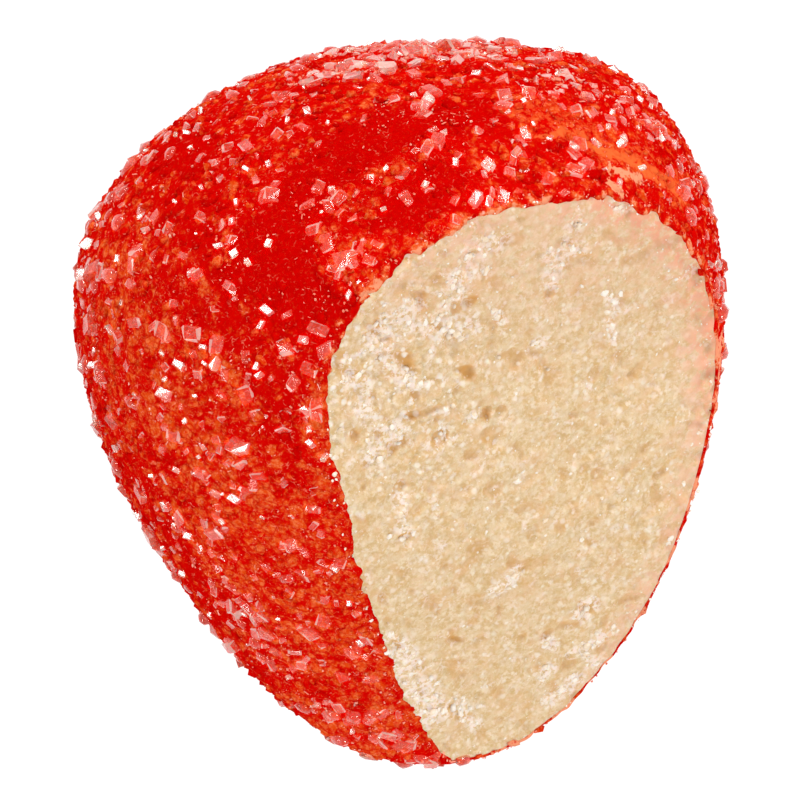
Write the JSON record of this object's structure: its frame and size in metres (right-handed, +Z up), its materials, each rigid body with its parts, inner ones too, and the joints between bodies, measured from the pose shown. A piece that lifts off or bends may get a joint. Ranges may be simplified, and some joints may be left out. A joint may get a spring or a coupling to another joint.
{
  "type": "marzipan strawberry",
  "caption": "Sugared marzipan sweet shaped as a strawberry, lying on its side, with a slice cut off that shows the pale almond paste under its red crystal coat.",
  "frame": {"origin": "on the resting plane, under the middle of the sweet's box", "axes": "+Z up from the resting plane, +Y from the tip to the broad crown; the cut faces up, towards +X and the tip"},
  "size_m": [0.033, 0.0366, 0.0277],
  "materials": {
    "marzipan": "matt, fine moist crumb",
    "sugar_coat": "glossy dyed sugar crystals"
  },
  "bodies": {
    "root": {"marzipan": "marzipan", "sugar_coat": "sugar_coat"}
  },
  "joints": []
}
